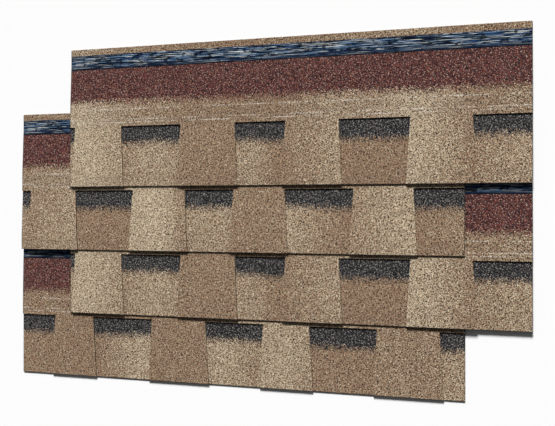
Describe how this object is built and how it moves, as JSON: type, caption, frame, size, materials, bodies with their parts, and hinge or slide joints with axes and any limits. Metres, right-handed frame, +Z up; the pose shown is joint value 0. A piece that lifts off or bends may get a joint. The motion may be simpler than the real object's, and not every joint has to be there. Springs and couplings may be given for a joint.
{
  "type": "lapped asphalt shingle set",
  "caption": "Loose set of laminated asphalt roof shingles lying flat in lapped, side-stepped courses, each with granule-faced teeth over a backing ply and a release tape.",
  "frame": {"origin": "middle of the footprint, on the floor", "axes": "+X along the courses, +Y up the lap from the lower edges to the top edges, +Z up out of the granule faces"},
  "size_m": [1.126, 0.736, 0.0125],
  "materials": {
    "toothed_ply": "tan and brown mineral granules on asphalt, with a red-brown headlap band",
    "backing_ply": "tan and brown mineral granules on asphalt, with a charcoal shadow band under the notch tops",
    "release_tape": "navy and pale grey-blue streaked film",
    "sealant": "glossy black asphalt sealant"
  },
  "bodies": {
    "root": {"shingle_1_backing_ply": "backing_ply", "shingle_1_toothed_ply": "toothed_ply", "shingle_1_release_tape": "release_tape", "shingle_1_sealant": "sealant", "shingle_2_backing_ply": "backing_ply", "shingle_2_toothed_ply": "toothed_ply", "shingle_2_release_tape": "release_tape", "shingle_2_sealant": "sealant", "shingle_3_backing_ply": "backing_ply", "shingle_3_toothed_ply": "toothed_ply", "shingle_3_release_tape": "release_tape", "shingle_3_sealant": "sealant", "shingle_4_backing_ply": "backing_ply", "shingle_4_toothed_ply": "toothed_ply", "shingle_4_release_tape": "release_tape", "shingle_4_sealant": "sealant"}
  },
  "joints": []
}
